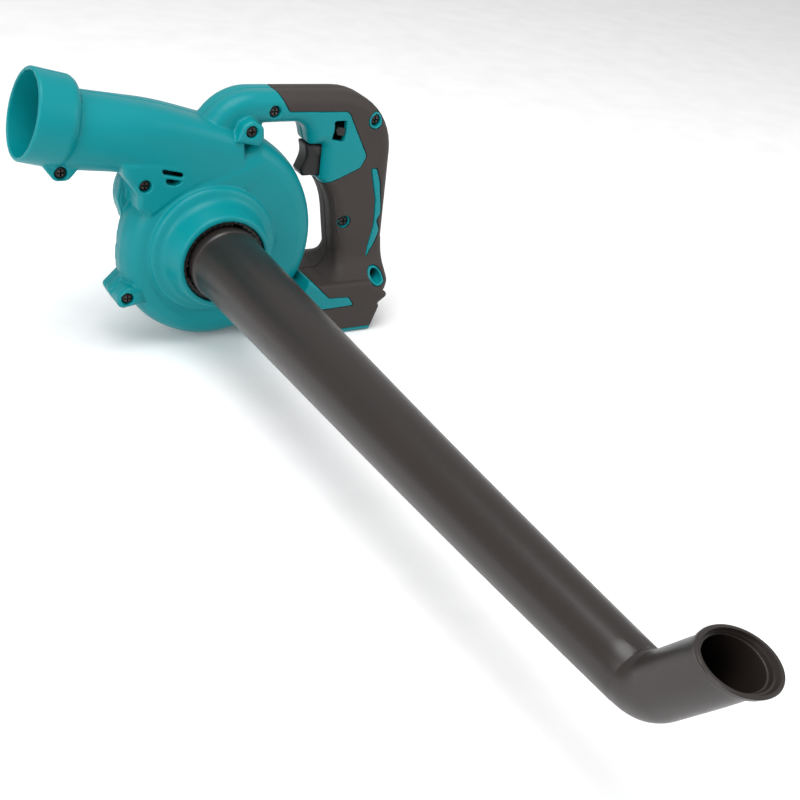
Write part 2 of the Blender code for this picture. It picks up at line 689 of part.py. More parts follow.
def motor():
    """Can, magnets, bearings, brushes and end bell; the can's nose sits in the scroll's back wall."""
    y = MOTOR_Y
    can = turned(((MOTOR_R, y), (MOTOR_R, y + 57), (20.2, y + 57), (20.2, y + 2), (6.0, y + 2), (6.0, y - 4.5),
                  (8.0, y - 4.5), (8.0, y)), 24, ends="loop")
    make(can, "motor_can", STEEL)
    sleeve("front_bearing", STEEL, 5.6, SHAFT_BORE_R, y - 4, y + 1.6, 20)
    magnet("upper_magnet", pi / 2)
    magnet("lower_magnet", -pi / 2)
    for name, side in (("left_brush", -1), ("right_brush", 1)):
        ends = sorted((side * 7.0, side * 14.5))
        make(block(ends[0], ends[1], y + 50.5, y + 56.5, -2.2, 2.2), name, RUBBER)
    bell = turned(((MOTOR_R, y + 57.4), (MOTOR_R, y + 64), (8.5, y + 66), (8.5, y + 70.5), (6.0, y + 70.5),
                   (6.0, y + 61.5), (19.8, y + 61), (19.8, y + 57.4)), 24, ends="loop")
    make(bell, "motor_end_bell", BLACK)
    sleeve("rear_bearing", STEEL, 5.6, SHAFT_BORE_R, y + 64, y + 69.6, 20)
    ring = turned(((32.0, y + 29), (32.0, y + 37), (22.3, y + 37), (22.3, y + 29)), 24, ends="loop")
    cut(ring, block(2, 40, y + 20, y + 50, -40, -14))
    make(ring, "motor_ring", RUBBER)


def motor_cover():
    """Cap on the motor housing with cooling slots."""
    inner = BARREL_R - 2.4
    rings = ((inner - 3.0, TOOL_END_Y - 2.6), (inner, TOOL_END_Y - 7.0), (inner, BARREL_END_Y + FIT),
             (BARREL_R, BARREL_END_Y + FIT), (BARREL_R, TOOL_END_Y - 6.0), (BARREL_R - 6.0, TOOL_END_Y))
    cap = turned(rings, 30)
    for k in range(-3, 4):
        reach = sqrt(25.0 ** 2 - (6.6 * k) ** 2)
        cut(cap, block(-reach, reach, TOOL_END_Y - 4.0, TOOL_END_Y + 2.0, 6.6 * k - 1.5, 6.6 * k + 1.5))
    make(cap, "motor_cover", TEAL)


# ---- controls and wiring ------------------------------------------------------------------------


def trigger():
    outline = ((82, TRIGGER_TOP, 1.5), (85, 63, 16), (80, 50.5, 1.5), (82, TRIGGER_BOTTOM, 1.5),
               (TRIGGER_REAR, TRIGGER_BOTTOM, 1), (TRIGGER_REAR, TRIGGER_TOP, 1))
    make(plate(outline, TRIGGER_HALF, 2.5), "trigger", BLACK, (TRIGGER_REAR, 0, PLUNGER_Z))
    rod = block(TRIGGER_REAR + FIT, 118, -PLUNGER_HALF, PLUNGER_HALF, PLUNGER_Z - PLUNGER_HALF,
                PLUNGER_Z + PLUNGER_HALF)
    make(rod, "switch_plunger", BRASS, (TRIGGER_REAR, 0, PLUNGER_Z))


def switch():
    body = block(SWITCH_FRONT, SWITCH_REAR, -SWITCH_HALF, SWITCH_HALF, SWITCH_BOTTOM, SWITCH_TOP)
    hole = PLUNGER_HALF + 0.5
    cut(body, block(SWITCH_FRONT - 5, 128, -hole, hole, PLUNGER_Z - hole, PLUNGER_Z + hole))
    make(body, "switch_body", BLACK)


def speed_lever():
    x, y, z = LEVER_PIVOT
    outline = ((x - 6.8, z + 1.0, 0.8), (x - 5, z - 2.6, 1), (x + 0.8, z - 3.4, 1.2), (x + 1.6, z + 2.6, 1.2),
               (x - 4.6, z + 4.0, 1))
    make(plate(outline, 2.9, 0.8, y_mid=y), "speed_lever", BLACK, (x, y, z))


def electrics():
    make(block(97, 136, -16, 16, -63.5, -51), "controller", BLACK)
    slots = [block(99.5, 119.5, y - 0.7, y + 0.7, -79, -69.5) for y in (-10, 10)]
    seat = block(SEAT_X - 16, SEAT_X + 16, -18, 18, SEAT_Z, -65)
    make(cut(seat, *slots), "terminal_block", BLACK)
    for name, y in (("left_terminal", -10), ("right_terminal", 10)):
        make(block(99.8, 119.2, y - 0.4, y + 0.4, -80.2, -69.8), name, BRASS)


def lead(name, material, route):
    """Insulated wire along a smooth curve through the route's points."""
    points = []
    count = len(route)
    for i in range(count - 1):
        a, b = Vector(route[max(i - 1, 0)]), Vector(route[i])
        c, d = Vector(route[i + 1]), Vector(route[min(i + 2, count - 1)])
        for t in (0.0, 0.34, 0.67):
            points.append(0.5 * ((2 * b) + (c - a) * t + (2 * a - 5 * b + 4 * c - d) * t ** 2
                                 + (3 * b - a - 3 * c + d) * t ** 3))
    points.append(Vector(route[-1]))
    curve = bpy.data.curves.new(name, "CURVE")
    curve.dimensions = "3D"
    curve.bevel_depth = LEAD_R * MM
    curve.bevel_resolution = 1
    curve.use_fill_caps = True
    line = curve.splines.new("POLY")
    line.points.add(len(points) - 1)
    for slot, point in zip(line.points, points):
        slot.co = (*(point * MM), 1.0)
    item = bpy.data.objects.new(name, curve)
    bpy.context.collection.objects.link(item)
    bpy.context.view_layer.update()
    shape = item.evaluated_get(bpy.context.evaluated_depsgraph_get())
    mesh = bpy.data.meshes.new_from_object(shape)
    bpy.data.objects.remove(item, do_unlink=True)
    bm = bmesh.new()
    bm.from_mesh(mesh)
    bmesh.ops.remove_doubles(bm, verts=bm.verts, dist=0.00001)
    bmesh.ops.recalc_face_normals(bm, faces=bm.faces)
    make(solid(bm), name, material)


def wiring():
    for colour, material, shift in (("red", RED, 0.0), ("black", RUBBER, 3.4)):
        y = shift * 2 - 3.4
        lead(f"battery_lead_{colour}", material,
             ((128, y, -50.6), (129, y, -42), (136, y, -22), (140, y, 2), (137, y, 25), (130, y, 44.4)))
        start = (99.5 + shift, 17.6, -57.5 + 1.47 * shift)
        x, z = 78.3 + 0.85 * shift, -36.5 + shift
        lead(f"motor_lead_{colour}", material,
             (start, (start[0] - 7.5, 20, start[2]), (83 + 1.2 * shift, 22, start[2] + 2), (x, 23.5, -48.5),
              (x, 24.5, z - 4), (x - 4.0, 25, z - 0.2), (66, 25, z), (48, 25, z), (30, 25, z + 2),
              (17 + 0.8 * shift, 25, -27 + 0.9 * shift), (15 + shift, 33, -24 + 0.4 * shift),
              (14 + shift, 58, -23), (12 + shift, 84, -22.5), (9 + shift, 91.5, -16)))


for screw_name in SCREWS:
    screw(screw_name)
inlet_ring()
nozzle()
impeller()
rotor()
motor()
motor_cover()
trigger()
switch()
speed_lever()
electrics()
wiring()
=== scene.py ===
"""Looks of a cordless leaf blower with a long nozzle on its side inlet.

Shapes are laid out in millimetres around the fan axis and moved to the frame when a piece is finished.
The fan turns about Y. -X is the air outlet, +X the grip, +Z up, and -Y the side with the nozzle.
"""

import json
from math import atan2, cos, exp, pi, radians, sin, sqrt, tan

import bmesh
import bpy
import numpy as np
from mathutils import Matrix, Vector


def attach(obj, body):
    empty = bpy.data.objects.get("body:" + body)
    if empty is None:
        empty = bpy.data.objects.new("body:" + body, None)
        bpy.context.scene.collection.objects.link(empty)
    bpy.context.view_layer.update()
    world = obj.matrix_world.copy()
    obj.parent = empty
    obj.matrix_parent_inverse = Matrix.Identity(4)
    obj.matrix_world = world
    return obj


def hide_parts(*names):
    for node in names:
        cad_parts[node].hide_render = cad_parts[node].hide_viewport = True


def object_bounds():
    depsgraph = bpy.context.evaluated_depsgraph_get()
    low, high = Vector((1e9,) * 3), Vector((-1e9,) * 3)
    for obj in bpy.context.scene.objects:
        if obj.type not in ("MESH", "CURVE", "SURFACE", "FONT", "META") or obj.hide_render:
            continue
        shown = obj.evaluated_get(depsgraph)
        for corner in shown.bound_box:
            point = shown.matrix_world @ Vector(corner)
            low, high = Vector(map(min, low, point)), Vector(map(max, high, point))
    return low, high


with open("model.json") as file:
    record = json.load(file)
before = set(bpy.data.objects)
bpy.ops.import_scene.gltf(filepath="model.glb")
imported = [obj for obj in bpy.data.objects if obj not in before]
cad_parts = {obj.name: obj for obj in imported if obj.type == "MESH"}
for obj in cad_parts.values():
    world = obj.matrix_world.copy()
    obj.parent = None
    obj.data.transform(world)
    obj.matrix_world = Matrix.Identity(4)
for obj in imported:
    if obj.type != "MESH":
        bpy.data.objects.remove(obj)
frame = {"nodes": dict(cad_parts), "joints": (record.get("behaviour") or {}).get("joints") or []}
cad_low, cad_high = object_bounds()


# ---- Housing ------------------------------------------------------------------------------------
# Two hollow halves of the fan case, outlet duct and grip, moulded in glass-filled nylon.
# They meet on the plane of the fan's centre with a fine open seam, and eight screws hold them.

MM = 0.001
FIT = 0.3  # air left between pieces that touch
LEAST_FILLET = 0.15
FINE = radians(7)  # longest step of an arc

SCROLL_START, SCROLL_SLOPE = 67.0, 0.137
SCROLL_KNEE, SCROLL_LATE_SLOPE = 160.0, 0.033
SCROLL_FIRST, SCROLL_LAST = -30.0, 246.0
SCROLL_DOME = ((16.0, -27.0), (8.5, -24.5), (3.0, -18.5), (0.0, -9.0))
SCROLL_BACK_Y = 18.0
SCROLL_STEP = 4.5
WALL = 2.6
RIM_STEPS = 8  # steps round a moulded rim
MOUTH = Vector((-136.4, 0.0, 102.8))
OUTLET_TILT = radians(13.85)
OUTLET_AXIS = Vector((-cos(OUTLET_TILT), 0.0, sin(OUTLET_TILT)))
COLLAR_R, COLLAR_BORE_R = 33.2, 30.2
INLET_FACE_Y, INLET_BORE_R = -52.7, 32.8
BARREL_R, BARREL_END_Y, TOOL_END_Y = 35.0, 88.0, 107.0
HANDLE_HALF, HANDLE_ROUND = 17.0, 10.0
BASE_HALF, BASE_ROUND = 38.0, 4.0
SKIN, SHELL = 2.4, 5.2
BASE_BOTTOM, SEAT_Z, SEAT_X, FLOOR_Z = -84.0, -77.0, 112.0, -72.0
SCREW_HEAD_R, SCREW_HEAD_H, SCREW_SHANK_R = 4.2, 2.6, 1.9
TRIGGER_HALF, TRIGGER_TOP, TRIGGER_BOTTOM, TRIGGER_REAR = 8.2, 73.2, 46.6, 104.5
MOULD_VOXEL = 0.85  # about the radius of the smallest moulded fillet
SCREWS = {
    "outlet_screw": ((-114.5, -16.5, 64.5), 20.0),
    "tongue_screw": ((-55.0, -24.0, 54.0), 32.0),
    "lower_lug_screw": ((-65.4, -24.0, -36.0), 26.0),
    "upper_lug_screw": ((26.0, -26.5, 91.8), 32.0),
    "handle_front_screw": ((48.9, -15.0, 102.9), 26.0),
    "handle_rear_screw": ((138.5, -14.0, 93.0), 24.0),
    "grip_screw": ((120.5, -14.5, 8.0), 24.0),
    "base_screw": ((148.8, -20.0, -37.3), 28.0),
}
POSTS = (
    ("handle_front_screw", 5.6, 15.6),
    ("handle_rear_screw", 5.6, 15.6),
    ("grip_screw", 5.6, 15.6),
    ("base_screw", 7.6, 30.0),
)

joints = {joint["name"]: joint for joint in frame["joints"]}
fan_centre = Vector(joints["fan_spin"]["pos_m"])


def loft(rings, ends="cap"):
    """Solid through rings of equal point counts. ends: cap closes both ends, loop joins last to first."""
    bm = bmesh.new()
    rows = [[bm.verts.new(point) for point in ring] for ring in rings]
    count = len(rows[0])
    pairs = list(zip(rows, rows[1:]))
    if ends == "loop":
        pairs.append((rows[-1], rows[0]))
    for near, far in pairs:
        for i in range(count):
            j = (i + 1) % count
            bm.faces.new((near[i], near[j], far[j], far[i]))
    if ends == "cap":
        bm.faces.new(rows[0])
        bm.faces.new(rows[-1])
    bmesh.ops.recalc_face_normals(bm, faces=bm.faces)
    if bm.calc_volume(signed=True) < 0:
        bmesh.ops.reverse_faces(bm, faces=bm.faces)
    return solid(bm)


def solid(bm):
    mesh = bpy.data.meshes.new("solid")
    bm.to_mesh(mesh)
    bm.free()
    item = bpy.data.objects.new("solid", mesh)
    bpy.context.collection.objects.link(item)
    return item


def settle(item):
    """Turn an object's modifiers into its mesh."""
    bpy.context.view_layer.update()
    shape = item.evaluated_get(bpy.context.evaluated_depsgraph_get())
    mesh = bpy.data.meshes.new_from_object(shape)
    item.modifiers.clear()
    item.data = mesh
    return item


def combine(item, tool, operation):
    """Boolean of two solids. The tool is used up."""
    step = item.modifiers.new("step", "BOOLEAN")
    step.operation = operation
    step.solver = "MANIFOLD"
    step.object = tool
    settle(item)
    bpy.data.objects.remove(tool, do_unlink=True)
    return item


def add(item, *tools):
    for tool in tools:
        combine(item, tool, "UNION")
    return item


def cut(item, *tools):
    for tool in tools:
        combine(item, tool, "DIFFERENCE")
    return item


def copy_of(item):
    twin = bpy.data.objects.new("solid", item.data.copy())
    bpy.context.collection.objects.link(twin)
    return twin


def inset(corners, amount):
    """Corners (x, z, fillet radius) moved inwards by amount, mitred, with concentric fillets."""
    count = len(corners)
    places = [Vector(corner[:2]) for corner in corners]
    area = sum(places[i - 1].x * places[i].y - places[i].x * places[i - 1].y for i in range(count))
    side = 1 if area > 0 else -1
    moved = []
    for i in range(count):
        here, radius = places[i], corners[i][2]
        before = (here - places[i - 1]).normalized()
        after = (places[(i + 1) % count] - here).normalized()
        normal = Vector((-(before.y + after.y), before.x + after.x)).normalized() * side
        stretch = max(0.4, sqrt(max(0.0, (1 + before.dot(after)) / 2)))
        outward = before.cross(after) * side > 0
        if radius > 0:
            radius = max(LEAST_FILLET, radius - amount if outward else radius + amount)
        place = here + normal * amount / stretch
        moved.append((place.x, place.y, radius))
    return moved


def rounded(corners):
    """Points of an outline, with an arc at each corner that has a fillet radius."""
    points = []
    count = len(corners)
    for i, (x, z, radius) in enumerate(corners):
        if radius <= 0:
            points.append((x, z))
            continue
        here = Vector((x, z))
        back = (Vector(corners[i - 1][:2]) - here).normalized()
        ahead = (Vector(corners[(i + 1) % count][:2]) - here).normalized()
        opening = back.angle(ahead)
        reach = radius / tan(opening / 2)
        centre = here + (back + ahead).normalized() * (radius / sin(opening / 2))
        first = here + back * reach - centre
        last = here + ahead * reach - centre
        start = atan2(first.y, first.x)
        sweep = (atan2(last.y, last.x) - start + pi) % (2 * pi) - pi
        steps = max(1, round(abs(pi - opening) / FINE + 0.01))
        for k in range(steps + 1):
            angle = start + sweep * k / steps
            points.append((centre.x + radius * cos(angle), centre.y + radius * sin(angle)))
    return points


def circle(x, z, radius, sides=48):
    turns = [2 * pi * k / sides for k in range(sides)]
    return [(x + radius * cos(turn), z + radius * sin(turn), 0) for turn in turns]


def stack(corners, levels):
    """Loft of one outline moved inwards by a different amount at each y. levels holds (amount, y)."""
    rings = []
    for move, y in levels:
        rings.append([(x, y, z) for x, z in rounded(inset(corners, move))])
    return loft(rings)


def plate(corners, half_width, round_off=0.0, shrink=0.0, y_mid=0.0):
    """Outline extruded along Y to both sides of y_mid, with rounded rims."""
    half = half_width - shrink
    rim = max(round_off - shrink, 0.8) if round_off > 0 else 0.0
    turns = [pi / 2 * k / RIM_STEPS for k in range(RIM_STEPS + 1)] if rim > 0 else [pi / 2]
    profile = [(shrink + rim * (1 - sin(turn)), half - rim * (1 - cos(turn))) for turn in turns]
    levels = [(move, y_mid - depth) for move, depth in profile]
    levels += [(move, y_mid + depth) for move, depth in reversed(profile)]
    return stack(corners, levels)


def block(x0, x1, y0, y1, z0, z1):
    corners = [(x0, z0), (x1, z0), (x1, z1), (x0, z1)]
    return loft([[(x, y, z) for x, z in corners] for y in (y0, y1)])


def turned(profile, sides=96, x=0.0, z=0.0, ends="cap"):
    """Solid turned about a line along Y. profile holds (radius, y)."""
    rings = []
    for radius, y in profile:
        rings.append([(px, y, pz) for px, pz, _ in circle(x, z, radius, sides)])
    return loft(rings, ends)


def tube_along(path, radii, sides, ends="cap"):
    """Loft of circles along a path of (point, direction)."""
    rings = []
    for (centre, direction), radius in zip(path, radii):
        across = direction.cross(Vector((1, 0, 0))).normalized()
        up = across.cross(direction).normalized()
        turns = [2 * pi * k / sides for k in range(sides)]
        rings.append([centre + (across * cos(turn) + up * sin(turn)) * radius for turn in turns])
    return loft(rings, ends)


def eased(points, parts):
    """Smooth curve through points of any number of values, with parts steps in each stretch."""
    curve = []
    last = len(points) - 1
    for i in range(last):
        a, b, c, d = (points[max(0, min(last, i + shift))] for shift in (-1, 0, 1, 2))
        for k in range(parts):
            t = k / parts
            curve.append(tuple(
                0.5 * (2 * q + (r - p) * t + (2 * p - 5 * q + 4 * r - s) * t ** 2
                       + (3 * q - p - 3 * r + s) * t ** 3)
                for p, q, r, s in zip(a, b, c, d)))
    curve.append(tuple(points[-1]))
    return curve


def scroll_radius(turn):
    """Radius of the fan scroll, turn degrees on from its tongue."""
    early = min(turn, SCROLL_KNEE)
    late = max(turn - SCROLL_KNEE, 0.0)
    return SCROLL_START + SCROLL_SLOPE * early + SCROLL_LATE_SLOPE * late


def scroll_outline(grow=0.0, step=3.0):
    """From the tongue under the outlet, down, round the right side and up to the duct's top."""
    points = []
    for k in range(round((SCROLL_LAST - SCROLL_FIRST) / step) + 1):
        turn = SCROLL_FIRST + k * step
        angle = radians(180.0 + turn)
        radius = scroll_radius(max(turn, 0.0)) + grow
        points.append((radius * cos(angle), radius * sin(angle), 0))
    points.append((-30.0, 60.0 + grow, 0))
    return points


def scroll_solid(shrink=0.0):
    """Near half with a domed face, and the smaller far half behind the seam."""
    levels = [(move + shrink, y + shrink) for move, y in eased(SCROLL_DOME, 5)]
    near = stack(scroll_outline(), [*levels, (shrink, 1.5 - 2 * shrink)])
    step = SCROLL_STEP + shrink
    far = stack(scroll_outline(), [(step, -14.0 + shrink), (step, 11.0 - shrink), (step + 2, 15.0 - shrink),
                                   (step + 7, SCROLL_BACK_Y - shrink)])
    return add(near, far)


def oval(x, centre_z, half_height, half_width, power, sides=72):
    """Ring across the duct: a rounded section in a plane of constant x."""
    ring = []
    for k in range(sides):
        angle = 2 * pi * (k + 0.5) / sides
        c, s = cos(angle), sin(angle)
        y = half_width * abs(c) ** (2 / power) * (1 if c > 0 else -1)
        z = half_height * abs(s) ** (2 / power) * (1 if s > 0 else -1)
        ring.append((x, y, centre_z + z))
    return ring


def duct(shrink=0.0, start=-112.0):
    stations = (
        (start, 92.0, 29.2, 28.0, 2.1),
        (-90.0, 88.9, 28.2, 27.4, 2.2),
        (-68.0, 85.9, 27.4, 26.8, 2.5),
        (-40.0, 79.2, 28.6, 26.6, 3.2),
        (-10.0, 69.6, 29.6, 26.5, 3.8),
        (22.0, 59.5, 30.0, 26.4, 3.8),
    )
    return loft([oval(x, z, high - shrink, wide - shrink, power)
                 for x, z, high, wide, power in eased(stations, 5)])


def collar(profile):
    """Turned piece on the outlet's axis. profile holds (distance out from the mouth, radius)."""
    path = [(MOUTH + OUTLET_AXIS * along, OUTLET_AXIS) for along, _ in profile]
    return tube_along(path, [radius for _, radius in profile], 96)


def handle_outline():
    return (
        (-20, 76, 0), (12.6, 117.6, 45), (156, 114.8, 52), (162.5, -50, 0), (113, -50, 0), (117, -25, 40),
        (107, 30, 60), (95.5, 44.5, 3), (95, 73.6, 1.5), (83.5, 73.6, 3), (78, 92.5, 14), (32, 92.5, 8),
        (12, 74, 0),
    )


def base_outline():
    return (
        (56, BASE_BOTTOM, 2), (146, BASE_BOTTOM, 1.5), (153, -63, 1), (151.5, -60, 1), (161, -53, 3),
        (140, -38, 8), (94, -38, 4), (84, -32.5, 3), (56, -32.5, 0),
    )


def flare(shrink):
    """Blend from the grip down to the wider base."""
    sections = ((-10, 117, 161.5, 16), (-22, 116.5, 162, 18.5), (-30, 115, 162, 23), (-36, 110, 161.5, 30),
                (-41, 101, 160.5, 36.3), (-48 + 0.3 * shrink, 88, 159, 37.2))
    rings = []
    for z, x0, x1, half in eased(sections, 4):
        x0, x1, half = x0 + shrink, x1 - shrink, half - shrink
        outline = rounded(((x0, -half, 9), (x1, -half, 9), (x1, half, 9), (x0, half, 9)))
        rings.append([(x, y, z) for x, y in outline])
    return loft(rings)


def grip_body(shrink=0.0):
    """Handle, flare and base as one solid, with its surface moved in by shrink."""
    wide = plate(base_outline(), BASE_HALF, BASE_ROUND, shrink)
    cut(wide, plate(scroll_outline(0.6 + shrink), 60.0))
    handle = plate(handle_outline(), HANDLE_HALF, HANDLE_ROUND, shrink)
    return add(handle, flare(shrink), wide)


def arm():
    """Bridge from the scroll to the base."""
    return plate(((60, -83, 2), (83, -83, 2), (83, -43, 2), (77, -37, 3), (40, -37, 0)), 24.0, 3.0)


def soft_region():
    """Side view of the soft grip: over the handle's top, round its back, down the grip and on the base."""
    return (
        (38, 140, 0), (61, 103, 2), (113, 101.5, 6), (134, 64, 5), (129, 54, 5), (99, 41, 0), (84, 34, 0),
        (80.5, -28, 0), (102.5, -49.2, 1), (121, -50.2, 1), (127.2, -58.8, 1), (66, -60.8, 0), (66, -79.5, 0),
        (147, -79.5, 0), (155, -60, 0), (164, -54, 0), (185, -40, 0), (185, 140, 0),
    )


def inlay_outline():
    """Strip of housing that shows through the back of the grip."""
    return ((139.5, 53, 1), (145, 53, 1), (150, 40, 8), (155, 13, 1), (151.5, 7, 1), (155.5, -2, 1),
            (152, -13, 2), (143.5, -26, 0), (148.5, 4, 20), (147, 26, 20))


def skin_windows(grow):
    """Openings through the soft grip on the near and far sides."""
    windows = [plate(inset(inlay_outline(), -grow), 60.0)]
    for name, radius in (("handle_rear_screw", 6.8), ("grip_screw", 5.4), ("base_screw", 6.8)):
        x, _, z = SCREWS[name][0]
        windows.append(plate(circle(x, z, radius + grow), 60.0))
    return windows


def inlet_boss():
    cone = eased(((51, -29), (49, -31.5), (44, -33.5), (41.5, -37), (40, -42), (37.5, -50.5)), 4)
    return turned(((51, -20), *cone, (36.6, -52.2), (35.4, INLET_FACE_Y)))


def lugs():
    """Flanges and domed bosses that the screws go through."""
    flanges = [
        (((-131, 80, 0), (-126, 68, 3), (-119, 58.5, 5), (-109, 58.5, 5), (-99, 70, 3), (-98, 84, 0)),
         12.5, 1.5, -5.5),
        (((-50, 14, 0), (-62, 18, 0), (-67, 35, 12), (-64.5, 50, 12), (-60, 62, 0), (-40, 62, 0)),
         6.5, 2.0, 5.5),
        (((-55, -10, 0), (-65.0, -24.5, 0), (-75.5, -35, 3), (-71, -44, 4), (-57, -42, 0), (-40, -36, 0)),
         8.5, 1.5, -1.0),
        (((8, 78, 0), (15.5, 90, 0), (25.5, 101.5, 3), (30, 101, 3), (42.5, 92.8, 3), (43, 85, 3),
          (38, 76, 0)), 9.0, 1.5, -0.5),
    ]
    bosses = [
        (((-50, 28, 0), (-60, 36, 3), (-60, 46, 8), (-71, 62, 0), (-73, 72, 0), (-10, 72, 0), (-6, 54, 0),
          (-30, 42, 0)), 13.9, 4.0, -12.6),
        (((-54, -28, 0), (-66, -26.5, 9), (-74, -36, 9), (-71, -44.5, 4), (-57, -42.5, 0), (-50, -42, 0)),
         12.5, 4.0, -13.2),
        (((14, 84, 0), (19, 97, 4), (27, 101, 5), (36, 95, 5), (37, 86, 4), (33, 80, 0)), 14.2, 3.0, -13.3),
    ]
    return [plate(outline, half, rim, y_mid=middle) for outline, half, rim, middle in flanges + bosses]


def screw_way(name):
    """Clearance for a screw: open recess in front, head seat and shank hole."""
    (x, y, z), length = SCREWS[name]
    wide, narrow, seat = SCREW_HEAD_R + 0.6, SCREW_SHANK_R + FIT, y + SCREW_HEAD_H + FIT
    return turned(((wide, y - 40), (wide, seat), (narrow, seat), (narrow, y + length + 1)), 40, x, z)


def battery_bay():
    """Slot under the base, open at the back, with a wider part above the rails."""
    return [block(84, 190, -24, 24, -90, SEAT_Z), block(84, 190, -29, 29, -80.5, SEAT_Z + 0.01)]


def trigger_bay():
    return block(90, 113, -TRIGGER_HALF - 0.5, TRIGGER_HALF + 0.5, 46.0, 73.8)


def other_bays():
    """Room for the terminals, switch, lever and cooling slots."""
    window = ((100, 79, 1), (111, 77, 1), (112, 94, 1), (101, 94, 1), (101.5, 86, 1))
    upper = ((-43.3, 66.6, 0.8), (-27.1, 62.8, 0.8), (-25.1, 58.7, 0.8), (-41.9, 62.4, 0.8))
    lower = ((-40.2, 59.2, 0.8), (-25.4, 56.2, 0.8), (-32.1, 53, 0.8), (-38.6, 54.5, 0.8))
    return [
        block(SEAT_X - 16.3, SEAT_X + 16.3, -18.3, 18.3, -80, -64.7),
        block(112, 147.3, -10.3, 10.3, 44.7, 79.3),
        plate(window, 3.5, y_mid=-15.0),
        plate(upper, 6.0, y_mid=-23.0),
        plate(lower, 6.0, y_mid=-23.0),
    ]


def housing_body():
    """Both halves as one hollow solid, with screw posts."""
    grip = grip_body()
    skin_cut = plate(inset(soft_region(), -FIT), 60.0)
    cut(skin_cut, *skin_windows(-FIT))
    cut(grip, skin_cut)
    add(grip, grip_body(SKIN + FIT))

    rim = ((0, 31.6), (-0.3, 32.5), (-1.2, COLLAR_R), (-25.6, COLLAR_R), (-27.5, 32.7), (-30, 31.2),
           (-32, 28.0))
    air = add(scroll_solid(), duct(), collar(rim))
    hollow = grip_body(SHELL)
    cut(hollow, copy_of(air))
    root = eased(((BARREL_R + 14, 12), (BARREL_R + 5, 26), (BARREL_R, 38)), 6)
    barrel = turned((*root, (BARREL_R, BARREL_END_Y)))
    outer = add(air, grip, arm(), inlet_boss(), *lugs(), barrel, block(10, 84.6, 13.5, 29.2, -43, -20))

    bore = turned(((INLET_BORE_R, INLET_FACE_Y - 5), (INLET_BORE_R, -36), (31, -35.9), (31, 0)))
    throat = collar(((9, COLLAR_BORE_R), (-24, COLLAR_BORE_R), (-31, 25.3), (-34, 25.0)))
    air_space = add(scroll_solid(WALL), duct(WALL, -111.0), throat, bore)
    cut(hollow, block(40, 200, -60, 60, -90, FLOOR_Z))
    add(hollow, turned(((BARREL_R - WALL, 20.5), (BARREL_R - WALL, BARREL_END_Y + 5))),
        block(16, 82.9, 22.9, 27.1, -40, -22.6), block(76.5, 83, 19, 26, -55, -26))
    cut(outer, air_space)
    cut(outer, hollow, turned(((14, 10), (14, 24))))
    for name, radius, depth in POSTS:
        (x, _, z), _ = SCREWS[name]
        add(outer, combine(plate(circle(x, z, radius), depth), grip_body(SKIN + 1.0), "INTERSECT"))
    x, _, z = SCREWS["tongue_screw"][0]
    add(outer, plate(circle(x, z, 5.6), 19.5, y_mid=-5.0))
    cut(outer, *battery_bay(), trigger_bay(), *other_bays())
    return cut(outer, *[screw_way(name) for name in SCREWS])


def halves(item):
    """The part of a solid on each side of the seam."""
    left = copy_of(item)
    combine(left, block(-200, 200, -200, -FIT / 2, -200, 200), "INTERSECT")
    combine(item, block(-200, 200, FIT / 2, 200, -200, 200), "INTERSECT")
    return left, item


def mould(item, voxel, rounds, keep):
    """Run fillets into every edge, as a mould does, and thin the mesh to the share keep."""
    skin = item.modifiers.new("skin", "REMESH")
    skin.mode = "VOXEL"
    skin.voxel_size = voxel
    ease = item.modifiers.new("ease", "SMOOTH")
    ease.factor = 0.5
    ease.iterations = rounds
    thin = item.modifiers.new("thin", "DECIMATE")
    thin.ratio = keep
    return settle(item)


def place(item, name, material, body, slot, replaces=()):
    """Move a finished solid into the frame and say what it is."""
    item.name = name
    item.data.name = name
    item.data.transform(Matrix.Translation(fan_centre) @ Matrix.Scale(MM, 4))
    item.data.materials.clear()
    item.data.materials.append(material)
    item.data.shade_smooth()
    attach(item, body)
    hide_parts(*replaces)
    return item


